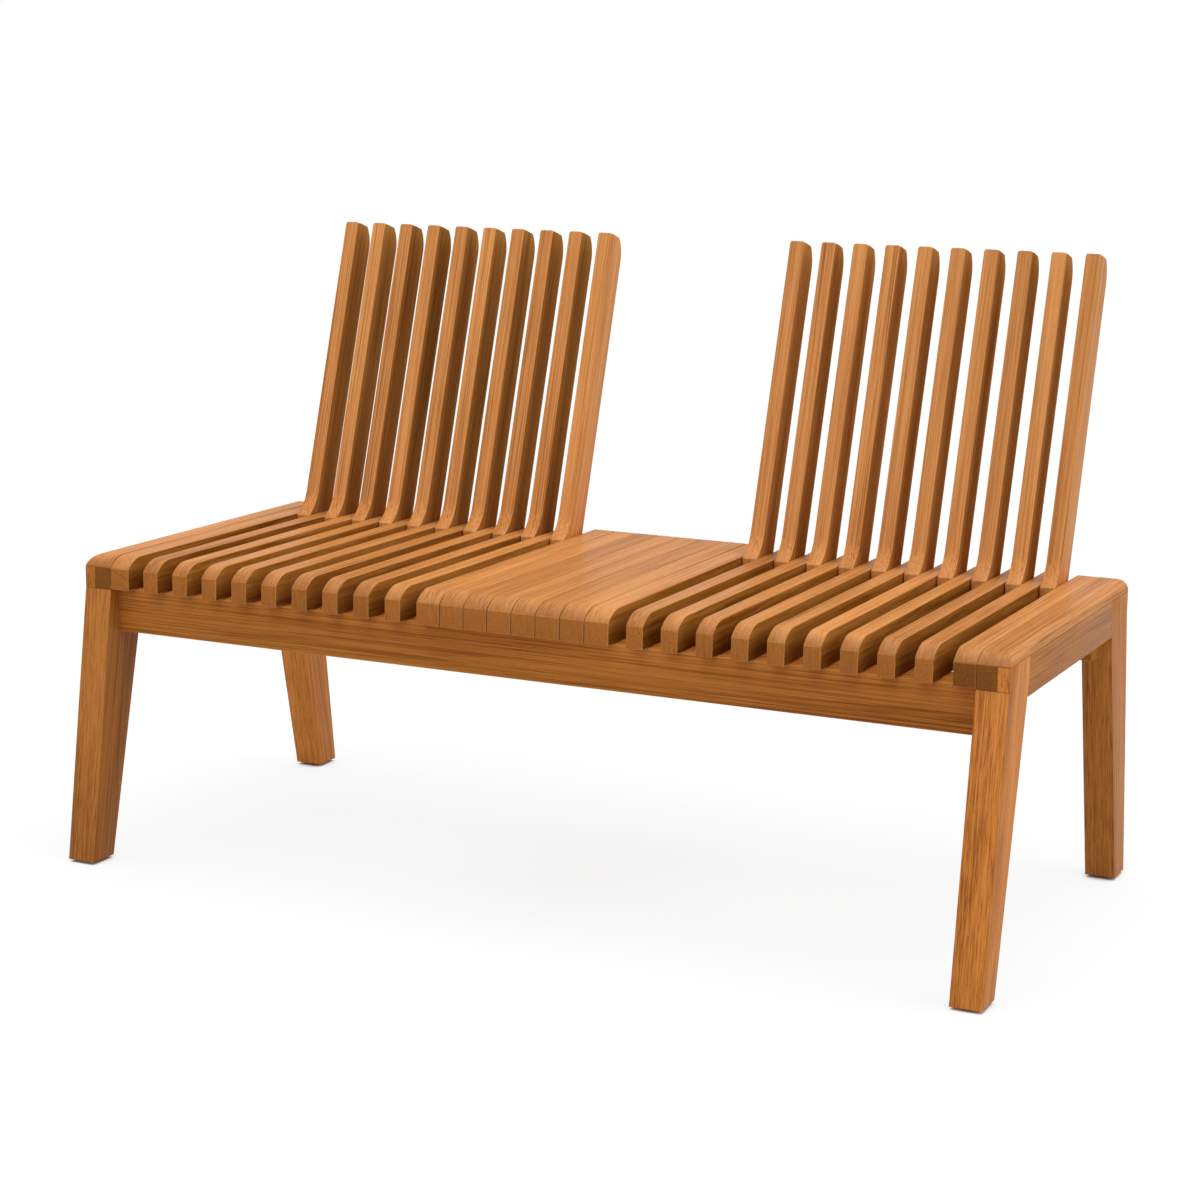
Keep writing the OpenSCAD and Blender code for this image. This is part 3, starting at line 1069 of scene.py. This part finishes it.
@dataclass
class Deck:
    """The boards of both seats, the table between them and the caps at the ends."""

    shop: Workshop
    nose: Nose = Nose()
    ease_width: float = 0.0010
    cap_ease: float = 0.0009
    seam: float = 0.00040
    tongue: float = 0.0155
    rod_bore: float = 0.00605
    planks: int = 8
    plank_gap: float = 0.001
    table_seed: int = 41

    def outline(self, low: Vector, high: Vector) -> list[Point2]:
        """Side view of a board between two corners of its box, with its rounded front."""
        curve = self.nose.curve((low.y + self.nose.run, high.z - self.nose.radius), 90)
        return [(low.y, low.z), (high.y, low.z), (high.y, high.z), *curve]

    def board(self, name: str, node: str, bored: bool) -> Piece:
        """One eased board in the place of a CAD node.

        Args:
            name: Name of the piece.
            node: CAD node whose box it fills.
            bored: Whether the hinge rod passes through it.

        Returns:
            The board.
        """
        low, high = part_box(node)
        solid = prism(self.outline(low, high), Run.ALONG_X, low.x + self.seam, high.x - self.seam)
        made = to_object(name, solid)
        ease(made, self.ease_width)
        if bored:
            bore(made, self.rod_bore, low, high)
        return made

    def seat(self, side: str, seed: int, share: float) -> None:
        """The row of equal boards of a seat.

        Args:
            side: left or right.
            seed: Number that the grain of the row is drawn from.
            share: How much painted shade darkens the faces in the gaps, from 0 to 1.
        """
        nodes = numbered(f"seat_slat_{side}_")
        made = self.board(f"seat_boards_{side}", nodes[0], True)
        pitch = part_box(nodes[1])[0].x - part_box(nodes[0])[0].x
        count = len(nodes)
        self.shop.repeat(made, line_tree(), self.shop.boards, Count=count, Pitch=pitch, Seed=seed)
        # Painted shade on the faces in the gaps
        mark_painted_gap_shade(made, True, share)
        self.shop.hand_over(made, self.shop.boards, "frame", nodes)

    def edge(self, side: str, seed: float, stain: float) -> None:
        """The single board between a seat's last gap and the table.

        Args:
            side: left or right.
            seed: Number that its grain is drawn from.
            stain: How dark its cut ends are, from 0 to 1.
        """
        node = f"edge_slat_{side}"
        made = self.board(f"edge_board_{side}", node, False)
        number(made, seed)
        mark(made, DARK_END, stain)
        # Painted shade on the faces in the gaps
        mark_painted_gap_shade(made, True, 0.85)
        self.shop.hand_over(made, self.shop.boards, "frame", [node])

    def table(self) -> None:
        """The planks of the table, side by side."""
        low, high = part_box("table_planks")
        pitch = (high.x - low.x + self.plank_gap) / self.planks
        plank = prism(self.outline(low, high), Run.ALONG_X, low.x, low.x + pitch - self.plank_gap)
        made = to_object("table_top", plank)
        ease(made, self.ease_width)
        inputs = {"Count": self.planks, "Pitch": pitch, "Seed": self.table_seed}
        self.shop.repeat(made, line_tree(), self.shop.boards, **inputs)
        # Painted shade on the faces in the gaps between planks
        mark_painted_gap_shade(made, True, 0.85)
        self.shop.hand_over(made, self.shop.boards, "frame", ["table_planks"])

    def cap(self, side: str, seed: float) -> None:
        """The end board of a seat, with its rounded front, its rounded outer edge and its lip.

        Args:
            side: left or right.
            seed: Number that its grain is drawn from.
        """
        node, sign, drop = f"cap_{side}", SIDES[side], self.nose.drop
        low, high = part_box(node)
        outer = high.x if sign > 0 else -low.x
        inner = (low.x if sign > 0 else -high.x) + self.seam
        profile = [
            (inner, low.z),
            (outer - self.tongue, low.z),
            (outer - self.tongue, high.z - drop),
            *arc((outer - drop, high.z - drop), drop, 0, 90, self.nose.steps),
            (inner, high.z),
        ]
        profile = [(sign * u, v) for u, v in profile]
        solid = prism(self.outline(low, high), Run.ALONG_X, low.x - PAST, high.x + PAST)
        made = to_object(f"{node}_board", solid)
        combine(made, prism(profile, Run.ALONG_Y, low.y - PAST, high.y + PAST), "INTERSECT")
        ease(made, self.cap_ease, shortest=0.006)
        number(made, seed)
        mark(made, DARK_END, 0.55)
        self.shop.hand_over(made, self.shop.boards, "frame", [node])

    def build(self) -> None:
        """Makes every board of the deck."""
        for side, row, share, edge, stain, cap in (
            ("left", 11, 0.73, 0.71, 0.0, 0.57),
            ("right", 23, 0.82, 0.38, 0.65, 0.13),
        ):
            self.seat(side, row, share)
            self.edge(side, edge, stain)
            self.cap(side, cap)
        self.table()


@dataclass
class Stand:
    """The legs, side rails, aprons and cross rails that carry the deck."""

    shop: Workshop
    leg_depth: float = 0.080
    foot_depth: float = 0.048
    splay: float = 0.056
    tongue: float = 0.0155
    side_rail: float = 0.024
    apron: float = 0.020
    cleat_high: float = 0.040
    cleat_gap: float = 0.0003
    cleat_ease: float = 0.0003
    tenon: float = 0.018
    bearer_tenon: float = 0.009
    ease_width: float = 0.0011
    rail_ease: float = 0.0009
    hinge_rail_ease: float = 0.0008
    under: float = 0.385
    notch_half: float = 0.012
    notch_depth: float = 0.0056
    seam: float = 0.00060
    overlap: float = 0.001
    score_depth: float = 0.001
    shortest: float = 0.004
    glide_height: float = 0.004

    @property
    def slant(self) -> float:
        """How far a leg's inner edge leans in for each metre of height."""
        return (self.leg_depth + self.splay - self.foot_depth) / (self.under - self.glide_height)

    def leg(self, end: str, side: str, seed: float, shade: float) -> None:
        """A splayed leg with the tongue that rises beside the cap.

        Args:
            end: front or rear.
            side: left or right.
            seed: Number that its grain is drawn from.
            shade: How much lighter its timber is than the mean.
        """
        node = f"leg_{end}_{side}"
        low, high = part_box(node)
        rear, sign = end == "rear", SIDES[side]
        back = -1 if rear else 1
        face = (high.y if rear else low.y) + back * self.splay
        inside = face + back * self.leg_depth
        top = self.under - self.seam
        outline = [
            (face, top),
            (face - back * self.splay, low.z),
            (face - back * (self.splay - self.foot_depth), low.z),
            (inside, top),
        ]
        made = to_object(f"{node}_post", prism(outline, Run.ALONG_X, low.x, high.x))
        outer = high.x if sign > 0 else low.x
        across = sorted((outer, outer - sign * self.tongue))
        along = sorted((face, inside))
        tongue = rectangle((along[0], top - self.overlap), (along[1], high.z - self.seam))
        combine(made, prism(tongue, Run.ALONG_X, *across), "UNION")
        near, far = face - self.score_depth, face + self.score_depth
        score = rectangle((near, top - self.seam), (far, top))
        combine(made, prism(score, Run.ALONG_X, low.x - PAST, high.x + PAST), "DIFFERENCE")
        ease(made, self.ease_width, shortest=self.shortest)
        number(made, seed, shade)
        finish = self.shop.rear_legs if rear else self.shop.front_legs
        self.shop.hand_over(made, finish, "frame", [node])

    def rail(self, side: str, seed: float) -> None:
        """The side rail between two legs, with its thinner upper part and its slanted ends.

        Args:
            side: left or right.
            seed: Number that its grain is drawn from.
        """
        node, sign = f"side_rail_{side}", SIDES[side]
        low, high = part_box(node)
        outer = high.x if sign > 0 else -low.x
        ledge, top = self.under - self.seam, high.z - self.seam
        profile = [
            (outer - self.side_rail, low.z),
            (outer, low.z),
            (outer, top),
            (outer - self.tongue, top),
            (outer - self.tongue, ledge),
            (outer - self.side_rail, ledge),
        ]
        profile = [(sign * u, v) for u, v in profile]
        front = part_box(f"leg_front_{side}")[0].y + self.splay + self.leg_depth
        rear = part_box(f"leg_rear_{side}")[1].y - self.splay - self.leg_depth
        reach = self.slant * (self.under - low.z)
        side_view = [
            (front + self.seam, high.z),
            (front + self.seam, self.under),
            (front + self.seam - reach, low.z - self.overlap),
            (rear - self.seam + reach, low.z - self.overlap),
            (rear - self.seam, self.under),
            (rear - self.seam, high.z),
        ]
        solid = prism(profile, Run.ALONG_Y, front - reach - PAST, rear + reach + PAST)
        made = to_object(f"{node}_bar", solid)
        combine(made, prism(side_view, Run.ALONG_X, low.x - PAST, high.x + PAST), "INTERSECT")
        ease(made, self.rail_ease, shortest=self.shortest)
        number(made, seed, -0.04)
        self.shop.hand_over(made, self.shop.ends, "frame", [node])

    def beam(self, node: str, seed: float, finish: Teak, run: Run, trim: float) -> None:
        """A plain eased bar in the place of a CAD node.

        Args:
            node: CAD node whose box it fills.
            seed: Number that its grain is drawn from.
            finish: Its timber.
            run: Direction of its length, X or Y.
            trim: How much of a tenon is left off each end.
        """
        low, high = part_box(node)
        across = 1 - run.value
        section = rectangle((low[across], low.z), (high[across], high.z - self.seam))
        solid = prism(section, run, low[run.value] + trim, high[run.value] - trim)
        made = to_object(f"{node}_bar", solid)
        ease(made, self.ease_width)
        number(made, seed)
        self.shop.hand_over(made, finish, "frame", [node])

    def front_apron(self) -> None:
        """The front apron with the cleat that is glued behind it and carries the boards."""
        low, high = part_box("front_apron")
        back = low.y + self.apron
        apron = rectangle((low.y, low.z), (back, high.z - self.seam))
        cleat = rectangle((back + self.cleat_gap, high.z - self.cleat_high), (high.y, high.z))
        parts = []
        bars = (apron, self.ease_width, 0.23), (cleat, self.cleat_ease, 0.66)
        for section, width, seed in bars:
            solid = prism(section, Run.ALONG_X, low.x + self.tenon, high.x - self.tenon)
            bar = to_object("front_apron_bar", solid)
            ease(bar, width)
            number(bar, seed, 0.02)
            parts.append(bar)
        self.shop.hand_over(merge(*parts), self.shop.rails, "frame", ["front_apron"])

    def hinge_rail(self) -> None:
        """The rail that the backs lean on, notched where their feet swing through."""
        low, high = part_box("hinge_rail")
        top, bottom = high.z - self.seam, high.z - self.notch_depth
        corners = [(low.x, low.z), (high.x, low.z), (high.x, top)]
        slats = [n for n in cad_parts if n.startswith("back_slat_")]
        for x in sorted(map(middle_x, slats), reverse=True):
            near, far = x + self.notch_half, x - self.notch_half
            corners += [(near, top), (near, bottom), (far, bottom), (far, top)]
        corners.append((low.x, top))
        made = to_object("hinge_rail_bar", prism(corners, Run.ALONG_Y, low.y, high.y))
        ease(made, self.hinge_rail_ease)
        number(made, 0.47)
        self.shop.hand_over(made, self.shop.rails, "frame", ["hinge_rail"])

    def build(self) -> None:
        """Makes the whole stand."""
        for end, side, seed, shade in (
            ("front", "left", 0.11, -0.10),
            ("front", "right", 0.62, 0.40),
            ("rear", "left", 0.35, 0.32),
            ("rear", "right", 0.91, -0.03),
        ):
            self.leg(end, side, seed, shade)
        self.rail("left", 0.83)
        self.rail("right", 0.29)
        self.front_apron()
        self.beam("rear_apron", 0.77, self.shop.rails, Run.ALONG_X, self.tenon)
        self.beam("bearer", 0.54, self.shop.ends, Run.ALONG_Y, self.bearer_tenon)
        self.hinge_rail()
        self.shop.dress("dowels", self.shop.rails)


@dataclass
class Backs:
    """The two backs, whose slats swing down into the gaps of the seats."""

    shop: Workshop
    nose: Nose = Nose()
    length: float = 0.472
    half: float = 0.0223
    heel: float = 0.044
    foot_radius: float = 0.060
    foot_run: float = 0.042
    foot_low: float = 0.010
    foot_steps: int = 16
    heel_corner: float = 0.001
    rest_gap: float = 0.0002
    rod_bore: float = 0.006025
    tip_corner: float = 0.0035
    tip_steps: int = 6
    ease_width: float = 0.0013
    washer_thick: float = 0.0014
    washer_gap: float = 0.00005
    washer_radius: float = 0.008025
    washer_wall: float = 0.00395

    def lean(self, depth: float, height: float) -> Point2:
        """A point of an upright slat as it stands when the back leans.

        Args:
            depth: How far it is behind the hinge.
            height: How far it is above the hinge.

        Returns:
            Its Y and Z.
        """
        return (
            HINGE[0] + depth * math.cos(LEAN) + height * math.sin(LEAN),
            HINGE[1] - depth * math.sin(LEAN) + height * math.cos(LEAN),
        )

    def outline(self) -> list[Point2]:
        """Side view of a slat: heel, foot curve, straight front and rounded tip.

        Returns:
            Corners in Y and Z.
        """
        foot_out = self.foot_radius - math.sqrt(self.foot_radius**2 - self.foot_run**2)
        sweep = math.degrees(math.asin(self.foot_run / self.foot_radius))
        rail_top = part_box("hinge_rail")[1]
        stop = rail_top.y + self.rest_gap
        toe = self.lean(-self.half - foot_out, self.foot_low)
        inner = self.lean(self.heel_corner - self.half, self.heel_corner - self.heel)
        share = (toe[1] - rail_top.z) / (toe[1] - inner[1])
        ledge = (toe[0] + (inner[0] - toe[0]) * share, rail_top.z)
        heel_front = self.lean(-self.half, -self.heel)
        heel_back = self.lean(self.half, -self.heel)
        share = (stop - heel_front[0]) / (heel_back[0] - heel_front[0])
        heel = (stop, heel_front[1] + (heel_back[1] - heel_front[1]) * share)
        tip = self.nose.curve((self.half - self.nose.radius, self.length - self.nose.run), 0)
        centre = (-self.half - self.foot_radius, self.foot_low + self.foot_run)
        foot = arc(centre, self.foot_radius, 0, -sweep, self.foot_steps)
        return [
            heel_back,
            *(self.lean(*p) for p in tip),
            self.lean(-self.half, self.length),
            *(self.lean(*p) for p in foot),
            ledge,
            (stop, rail_top.z),
            heel,
        ]

    def slats(self, side: str, nodes: Sequence[str], seed: int, share: float, shade: float) -> None:
        """The slats of one back.

        Args:
            side: left or right.
            nodes: The CAD nodes of its slats.
            seed: Number that the grain of the row is drawn from.
            share: How much painted shade darkens the faces between them, from 0 to 1.
            shade: How much lighter their timber is than the mean.
        """
        low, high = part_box(nodes[0])
        made = to_object(f"back_slats_{side}", prism(self.outline(), Run.ALONG_X, low.x, high.x))
        radius = self.tip_corner
        level = high.z - radius
        front = [
            (low.x - PAST, low.z - PAST),
            (high.x + PAST, low.z - PAST),
            (high.x + PAST, level),
            *arc((high.x - radius, level), radius, 0, 90, self.tip_steps),
            *arc((low.x + radius, level), radius, 90, 180, self.tip_steps),
            (low.x - PAST, level),
        ]
        combine(made, prism(front, Run.ALONG_Y, low.y - PAST, high.y + PAST), "INTERSECT")
        ease(made, self.ease_width)
        bore(made, self.rod_bore, low, high)
        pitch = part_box(nodes[1])[0].x - low.x
        count = len(nodes)
        self.shop.repeat(made, line_tree(), self.shop.backs, Count=count, Pitch=pitch, Seed=seed)
        # Painted shade on the faces between the slats
        mark_painted_gap_shade(made, False, share)
        mark(made, SHADE, shade)
        self.shop.hand_over(made, self.shop.backs, f"back_{side}", nodes)

    def washers(self, side: str, nodes: Sequence[str]) -> None:
        """The washers that keep each slat of a back in the middle of its gap.

        Args:
            side: left or right.
            nodes: The CAD nodes of its slats.
        """
        off = self.washer_thick / 2 + self.washer_gap
        bm = bmesh.new()
        for node in nodes:
            low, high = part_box(node)
            for x in (low.x - off, high.x + off):
                bm.verts.new((x, *HINGE))
        made = to_object(f"washer_stack_{side}", bm)
        self.shop.repeat(
            made,
            washer_tree(),
            self.shop.nylon,
            Middle_Radius=self.washer_radius,
            Wall=self.washer_wall,
            Thickness=self.washer_thick - self.washer_gap,
            Seed=3,
        )
        self.shop.hand_over(made, self.shop.nylon, f"back_{side}", [f"washers_{side}"])

    def build(self) -> None:
        """Makes both backs with their washers and dresses their rods."""
        for side, seed, share, shade in (("left", 5, 0.82, 0.25), ("right", 17, 0.45, 0.17)):
            nodes = numbered(f"back_slat_{side}_")
            self.slats(side, nodes, seed, share, shade)
            self.washers(side, nodes)
            self.shop.dress(f"rod_{side}", self.shop.steel)


@dataclass
class Fixings:
    """The glides under the legs and the screws that hold the boards."""

    shop: Workshop
    glide_radius: float = 0.014
    glide_height: float = 0.004
    pin_radius: float = 0.003
    pin_top: float = 0.020
    chamfer: float = 0.001
    glide_steps: int = 48
    screw_radius: float = 0.00225
    head_radius: float = 0.004
    head_height: float = 0.003
    table_pitch: float = 0.035

    def glides(self) -> None:
        """Four pads with a chamfered rim and a pin up into the leg."""
        low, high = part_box("glides")
        half = ((high.x - low.x) / 2 - self.glide_radius, (high.y - low.y) / 2 - self.glide_radius)
        middle = (high.y + low.y) / 2
        profile = [
            (0.0, 0.0),
            (self.glide_radius - self.chamfer, 0.0),
            (self.glide_radius, self.chamfer),
            (self.glide_radius, self.glide_height),
            (self.pin_radius, self.glide_height),
            (self.pin_radius, self.pin_top),
            (0.0, self.pin_top),
        ]
        bm = bmesh.new()
        spine = [bm.verts.new((r, middle, z)) for r, z in profile]
        edges = [bm.edges.new(pair) for pair in zip(spine, spine[1:])]
        bmesh.ops.spin(
            bm,
            geom=spine + edges,
            axis=Z_AXIS,
            cent=(0.0, middle, 0.0),
            steps=self.glide_steps,
            angle=2 * math.pi,
        )
        bmesh.ops.remove_doubles(bm, verts=bm.verts, dist=WELD)
        bmesh.ops.recalc_face_normals(bm, faces=bm.faces)
        made = to_object("leg_glides", bm)
        inputs = {"Width": 2 * half[0], "Depth": 2 * half[1], "Seed": 2}
        self.shop.repeat(made, corner_tree(), self.shop.nylon, **inputs)
        self.shop.hand_over(made, self.shop.nylon, "frame", ["glides"])

    def screws(self) -> None:
        """The rows of deck screws, driven up through the apron and the hinge rail."""
        low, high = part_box("deck_screws")
        slats = [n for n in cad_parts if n.startswith(("seat_slat_", "edge_slat_"))]
        boards = [middle_x(n) for n in slats]
        boards += [sign * (i + 0.5) * self.table_pitch for sign in (-1, 1) for i in range(4)]
        bm = bmesh.new()
        for x in boards:
            for y in (low.y + self.head_radius, high.y - self.head_radius):
                bm.verts.new((x, y, low.z + self.head_height))
        made = to_object("screw_rows", bm)
        self.shop.repeat(
            made,
            screw_tree(),
            self.shop.steel,
            Length=high.z - low.z - self.head_height,
            Shank_Radius=self.screw_radius,
            Head_Radius=self.head_radius,
            Head_Height=self.head_height,
            Seed=8,
        )
        self.shop.hand_over(made, self.shop.steel, "frame", ["deck_screws"])

    def build(self) -> None:
        """Makes the glides and the screws."""
        self.glides()
        self.screws()


# The studio


@dataclass
class Studio:
    """Pale floor, soft light and the camera of the photograph."""

    azimuth: float = 25.449
    elevation: float = 11.435
    roll: float = 0.737
    focal_pixels: float = 2678.3
    picture: float = 1200.0
    sensor: float = 36.0
    sight: Point2 = (0.05, 100.0)
    camera_place: Point3 = (1.5579, -3.2894, 1.1175)
    sky: float = 0.24
    lamp_distance: float = 3.0
    floor_half: float = 14.0

    def camera(self) -> None:
        """Sets the camera where the photograph was taken from."""
        az, el, roll = (math.radians(v) for v in (self.azimuth, self.elevation, self.roll))
        ahead = Vector((-math.sin(az) * math.cos(el), math.cos(az) * math.cos(el), -math.sin(el)))
        right = Vector((math.cos(az), math.sin(az), 0.0))
        up = right.cross(ahead)
        side = math.cos(roll) * right + math.sin(roll) * up
        top = -math.sin(roll) * right + math.cos(roll) * up
        data = bpy.data.cameras.new("photo_camera")
        data.sensor_width = self.sensor
        data.lens = self.focal_pixels * data.sensor_width / self.picture
        data.clip_start, data.clip_end = self.sight
        made = bpy.data.objects.new("photo_camera", data)
        bpy.context.scene.collection.objects.link(made)
        turn = Matrix((side, top, -ahead)).transposed().to_4x4()
        made.matrix_world = Matrix.Translation(Vector(self.camera_place)) @ turn
        bpy.context.scene.camera = made

    def lamp(self, name: str, source: Point3, spread: float, strength: float) -> None:
        """One broad soft light, even over the whole floor.

        Args:
            name: Its name.
            source: Direction that it comes from.
            spread: Angle that it fills in the sky, in degrees.
            strength: Its strength on a surface that faces it.
        """
        data = bpy.data.lights.new(name, "SUN")
        data.energy = strength
        data.angle = math.radians(spread)
        made = bpy.data.objects.new(name, data)
        bpy.context.scene.collection.objects.link(made)
        made.location = self.lamp_distance * Vector(source)
        made.rotation_mode = "QUATERNION"
        made.rotation_quaternion = (-Vector(source)).to_track_quat("-Z", "Y")

    def world(self) -> None:
        """An even white surround: plain white to the eye, softer as a light."""
        world = bpy.data.worlds.new("white_surround")
        world.use_nodes = True
        g = Graph(world.node_tree)
        lit = g.node("ShaderNodeBackground", {}, {"Color": WHITE, "Strength": self.sky})
        white = g.node("ShaderNodeBackground", {}, {"Color": WHITE, "Strength": 1.0})
        mixed = g.node("ShaderNodeMixShader", {}, {0: g.eye(), 1: lit, 2: white})
        g.close("ShaderNodeOutputWorld", mixed)
        bpy.context.scene.world = world

    def floor(self) -> None:
        """A wide pale floor under the bench."""
        bm = bmesh.new()
        bmesh.ops.create_grid(bm, x_segments=2, y_segments=2, size=self.floor_half)
        made = to_object("studio_floor", bm)
        made.data.materials.append(PaleFloor().material())

    def build(self) -> None:
        """Sets the whole studio."""
        self.camera()
        self.world()
        self.floor()
        self.lamp("top_light", (0.04, 0.06, 1.0), 56.0, 2.15)
        self.lamp("right_light", (0.85, 0.10, 0.55), 50.0, 0.82)
        self.lamp("front_light", (-0.15, -0.90, 0.60), 60.0, 0.74)
        bpy.context.scene.view_settings.view_transform = "Standard"


def main() -> None:
    """Builds the studio and the bench, piece by piece."""
    logging.basicConfig(level=logging.INFO, format="%(name)s: %(message)s")
    Studio().build()
    shop = Workshop()
    for part in (Deck(shop), Stand(shop), Backs(shop), Fixings(shop)):
        part.build()
        log.info("%s done", type(part).__name__)


if __name__ == "__main__":
    main()
